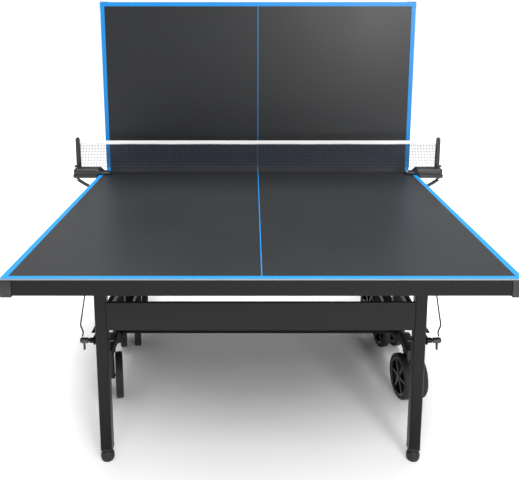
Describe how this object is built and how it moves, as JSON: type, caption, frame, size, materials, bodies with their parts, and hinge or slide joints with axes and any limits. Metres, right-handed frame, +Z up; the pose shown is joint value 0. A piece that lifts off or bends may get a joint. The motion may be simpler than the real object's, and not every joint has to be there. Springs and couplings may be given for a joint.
{
  "type": "ping pong table",
  "caption": "Folding table tennis table with one half down and the other tipped up as a rebound board, on rolling trolleys with a clamped net.",
  "frame": {"origin": "on the floor, under the middle of the whole table's box with the near half down and the far half tipped up", "axes": "+Z up, +Y from the near half's free end towards the upright board, +X to the right of a player at the near end"},
  "size_m": [1.796, 1.8636, 1.5773],
  "materials": {
    "laminate": "semi-gloss anthracite laminate with a pale blue border and centre line",
    "frame_paint": "fine textured black powder coat",
    "beam_paint": "satin black powder coat",
    "leg_paint": "fine textured black powder coat",
    "cap_plastic": "moulded black plastic",
    "caster_plastic": "moulded black nylon",
    "clamp_plastic": "moulded black plastic",
    "knob_plastic": "smooth black plastic",
    "tyre": "dark grey rubber on black hubs",
    "foot_rubber": "black rubber",
    "wire": "black coated wire",
    "net_cord": "dark navy net with a white tape"
  },
  "bodies": {
    "near_trolley": {"near_trolley_frame": "frame_paint"},
    "near_top": {"near_top_panel": "laminate", "near_top_frame": "frame_paint", "near_corner_cap_net_left": "cap_plastic", "near_corner_cap_net_right": "cap_plastic", "near_corner_cap_end_left": "cap_plastic", "near_corner_cap_end_right": "cap_plastic", "net": "net_cord", "net_bracket_left": "clamp_plastic", "net_bracket_right": "clamp_plastic"},
    "near_legs": {"near_leg_left": "leg_paint", "near_leg_right": "leg_paint", "near_leg_beam": "beam_paint"},
    "near_links": {"near_link_left": "frame_paint", "near_link_right": "frame_paint"},
    "near_lock_left": {"near_lock_pin_left": "knob_plastic", "near_release_wire_left": "wire"},
    "near_foot_left_body": {"near_foot_left": "foot_rubber"},
    "near_lock_right": {"near_lock_pin_right": "knob_plastic", "near_release_wire_right": "wire"},
    "near_foot_right_body": {"near_foot_right": "foot_rubber"},
    "far_trolley": {"far_trolley_frame": "frame_paint"},
    "far_top": {"far_top_panel": "laminate", "far_top_frame": "frame_paint", "far_corner_cap_net_left": "cap_plastic", "far_corner_cap_net_right": "cap_plastic", "far_corner_cap_end_left": "cap_plastic", "far_corner_cap_end_right": "cap_plastic"},
    "far_legs": {"far_leg_left": "leg_paint", "far_leg_right": "leg_paint", "far_leg_beam": "beam_paint"},
    "far_links": {"far_link_left": "frame_paint", "far_link_right": "frame_paint"},
    "far_lock_left": {"far_lock_pin_left": "knob_plastic", "far_release_wire_left": "wire"},
    "far_foot_left_body": {"far_foot_left": "foot_rubber"},
    "far_lock_right": {"far_lock_pin_right": "knob_plastic", "far_release_wire_right": "wire"},
    "far_foot_right_body": {"far_foot_right": "foot_rubber"},
    "near_caster_net_right": {"near_caster_fork_net_right": "caster_plastic"},
    "near_wheels_net_right": {"near_caster_wheels_net_right": "tyre"},
    "near_caster_end_right": {"near_caster_fork_end_right": "caster_plastic"},
    "near_wheels_end_right": {"near_caster_wheels_end_right": "tyre"},
    "near_caster_net_left": {"near_caster_fork_net_left": "caster_plastic"},
    "near_wheels_net_left": {"near_caster_wheels_net_left": "tyre"},
    "near_caster_end_left": {"near_caster_fork_end_left": "caster_plastic"},
    "near_wheels_end_left": {"near_caster_wheels_end_left": "tyre"},
    "far_caster_net_left": {"far_caster_fork_net_left": "caster_plastic"},
    "far_wheels_net_left": {"far_caster_wheels_net_left": "tyre"},
    "far_caster_end_left": {"far_caster_fork_end_left": "caster_plastic"},
    "far_wheels_end_left": {"far_caster_wheels_end_left": "tyre"},
    "far_caster_net_right": {"far_caster_fork_net_right": "caster_plastic"},
    "far_wheels_net_right": {"far_caster_wheels_net_right": "tyre"},
    "far_caster_end_right": {"far_caster_fork_end_right": "caster_plastic"},
    "far_wheels_end_right": {"far_caster_wheels_end_right": "tyre"},
    "net_clamp_left": {"net_jaw_left": "clamp_plastic"},
    "net_tension_left": {"net_knob_left": "knob_plastic"},
    "net_clamp_right": {"net_jaw_right": "clamp_plastic"},
    "net_tension_right": {"net_knob_right": "knob_plastic"}
  },
  "joints": [
    {"name": "near_top_fold", "type": "hinge", "parent": "near_trolley", "child": "near_top", "pos_m": [0, -0.05654, 0.7015], "axis": [-1, 0, 0], "range_deg": [0, 72]},
    {"name": "near_leg_fold", "type": "hinge", "parent": "near_top", "child": "near_legs", "pos_m": [0, -0.68554, 0.7015], "axis": [-1, 0, 0], "range_deg": [-72, 0]},
    {"name": "near_link_swing", "type": "hinge", "parent": "near_trolley", "child": "near_links", "pos_m": [0, -0.05654, 0.443], "axis": [-1, 0, 0], "range_deg": [0, 72]},
    {"name": "far_roll", "type": "slide", "parent": "near_trolley", "child": "far_trolley", "axis": [0, 1, 0], "range_m": [0, 0.3416]},
    {"name": "far_top_fold", "type": "hinge", "parent": "far_trolley", "child": "far_top", "pos_m": [0, 0.60196, 0.7015], "axis": [-1, 0, 0], "range_deg": [0, 90]},
    {"name": "far_leg_fold", "type": "hinge", "parent": "far_top", "child": "far_legs", "pos_m": [0, 0.60196, 1.3305], "axis": [-1, 0, 0], "range_deg": [-90, 0]},
    {"name": "far_link_swing", "type": "hinge", "parent": "far_trolley", "child": "far_links", "pos_m": [0, 0.60196, 0.443], "axis": [-1, 0, 0], "range_deg": [0, 90]},
    {"name": "near_swivel_net_right", "type": "hinge", "parent": "near_trolley", "child": "near_caster_net_right", "pos_m": [0.5975, 0.16146, 0], "axis": [0, 0, 1], "continuous": true},
    {"name": "near_wheel_spin_net_right", "type": "hinge", "parent": "near_caster_net_right", "child": "near_wheels_net_right", "pos_m": [0.6001, 0.14669, 0.09], "axis": [-0.9848, -0.1736, 0], "continuous": true},
    {"name": "near_swivel_end_right", "type": "hinge", "parent": "near_trolley", "child": "near_caster_end_right", "pos_m": [0.5975, -0.27454, 0], "axis": [0, 0, 1], "continuous": true},
    {"name": "near_wheel_spin_end_right", "type": "hinge", "parent": "near_caster_end_right", "child": "near_wheels_end_right", "pos_m": [0.6001, -0.28931, 0.09], "axis": [-0.9848, -0.1736, 0], "continuous": true},
    {"name": "near_swivel_net_left", "type": "hinge", "parent": "near_trolley", "child": "near_caster_net_left", "pos_m": [-0.5975, 0.16146, 0], "axis": [0, 0, 1], "continuous": true},
    {"name": "near_wheel_spin_net_left", "type": "hinge", "parent": "near_caster_net_left", "child": "near_wheels_net_left", "pos_m": [-0.59464, 0.14674, 0.09], "axis": [-0.9816, -0.1908, 0], "continuous": true},
    {"name": "near_swivel_end_left", "type": "hinge", "parent": "near_trolley", "child": "near_caster_end_left", "pos_m": [-0.5975, -0.27454, 0], "axis": [0, 0, 1], "continuous": true},
    {"name": "near_wheel_spin_end_left", "type": "hinge", "parent": "near_caster_end_left", "child": "near_wheels_end_left", "pos_m": [-0.59438, -0.28921, 0.09], "axis": [-0.9781, -0.2079, 0], "continuous": true},
    {"name": "near_lock_pull_left", "type": "slide", "parent": "near_legs", "child": "near_lock_left", "axis": [-1, 0, 0], "range_m": [0, 0.012], "stiffness_N_per_m": 400},
    {"name": "near_foot_level_left", "type": "slide", "parent": "near_legs", "child": "near_foot_left_body", "axis": [0, 0, -1], "range_m": [0, 0.01]},
    {"name": "near_lock_pull_right", "type": "slide", "parent": "near_legs", "child": "near_lock_right", "axis": [1, 0, 0], "range_m": [0, 0.012], "stiffness_N_per_m": 400},
    {"name": "near_foot_level_right", "type": "slide", "parent": "near_legs", "child": "near_foot_right_body", "axis": [0, 0, -1], "range_m": [0, 0.01]},
    {"name": "far_swivel_net_left", "type": "hinge", "parent": "far_trolley", "child": "far_caster_net_left", "pos_m": [-0.5975, 0.38396, 0], "axis": [0, 0, 1], "continuous": true},
    {"name": "far_wheel_spin_net_left", "type": "hinge", "parent": "far_caster_net_left", "child": "far_wheels_net_left", "pos_m": [-0.59959, 0.39881, 0.09], "axis": [0.9903, 0.1392, 0], "continuous": true},
    {"name": "far_swivel_end_left", "type": "hinge", "parent": "far_trolley", "child": "far_caster_end_left", "pos_m": [-0.5975, 0.81996, 0], "axis": [0, 0, 1], "continuous": true},
    {"name": "far_wheel_spin_end_left", "type": "hinge", "parent": "far_caster_end_left", "child": "far_wheels_end_left", "pos_m": [-0.60062, 0.83463, 0.09], "axis": [0.9781, 0.2079, 0], "continuous": true},
    {"name": "far_swivel_net_right", "type": "hinge", "parent": "far_trolley", "child": "far_caster_net_right", "pos_m": [0.5975, 0.38396, 0], "axis": [0, 0, 1], "continuous": true},
    {"name": "far_wheel_spin_net_right", "type": "hinge", "parent": "far_caster_net_right", "child": "far_wheels_net_right", "pos_m": [0.59362, 0.39845, 0.09], "axis": [0.9659, 0.2588, 0], "continuous": true},
    {"name": "far_swivel_end_right", "type": "hinge", "parent": "far_trolley", "child": "far_caster_end_right", "pos_m": [0.5975, 0.81996, 0], "axis": [0, 0, 1], "continuous": true},
    {"name": "far_wheel_spin_end_right", "type": "hinge", "parent": "far_caster_end_right", "child": "far_wheels_end_right", "pos_m": [0.59619, 0.8349, 0.09], "axis": [0.9962, 0.0872, 0], "continuous": true},
    {"name": "far_lock_pull_left", "type": "slide", "parent": "far_legs", "child": "far_lock_left", "axis": [-1, 0, 0], "range_m": [0, 0.012], "stiffness_N_per_m": 400},
    {"name": "far_foot_level_left", "type": "slide", "parent": "far_legs", "child": "far_foot_left_body", "axis": [0, 0, -1], "range_m": [0, 0.01]},
    {"name": "far_lock_pull_right", "type": "slide", "parent": "far_legs", "child": "far_lock_right", "axis": [1, 0, 0], "range_m": [0, 0.012], "stiffness_N_per_m": 400},
    {"name": "far_foot_level_right", "type": "slide", "parent": "far_legs", "child": "far_foot_right_body", "axis": [0, 0, -1], "range_m": [0, 0.01]},
    {"name": "net_jaw_swing_left", "type": "hinge", "parent": "near_top", "child": "net_clamp_left", "pos_m": [-0.868, 0.37846, 0.738], "axis": [0, 1, 0], "range_deg": [0, 18]},
    {"name": "net_knob_turn_left", "type": "hinge", "parent": "near_top", "child": "net_tension_left", "pos_m": [-0.8926, 0.44346, 0.787], "axis": [1, 0, 0], "continuous": true},
    {"name": "net_jaw_swing_right", "type": "hinge", "parent": "near_top", "child": "net_clamp_right", "pos_m": [0.868, 0.37846, 0.738], "axis": [0, -1, 0], "range_deg": [0, 18]},
    {"name": "net_knob_turn_right", "type": "hinge", "parent": "near_top", "child": "net_tension_right", "pos_m": [0.8926, 0.44346, 0.787], "axis": [1, 0, 0], "continuous": true}
  ],
  "couplings": [
    {"joint": "near_leg_fold", "follows": "near_top_fold", "ratio": -1},
    {"joint": "near_link_swing", "follows": "near_top_fold", "ratio": 1},
    {"joint": "far_leg_fold", "follows": "far_top_fold", "ratio": -1},
    {"joint": "far_link_swing", "follows": "far_top_fold", "ratio": 1},
    {"joint": "far_roll", "follows": "far_top_fold", "m_per_rad": 0.21741}
  ]
}
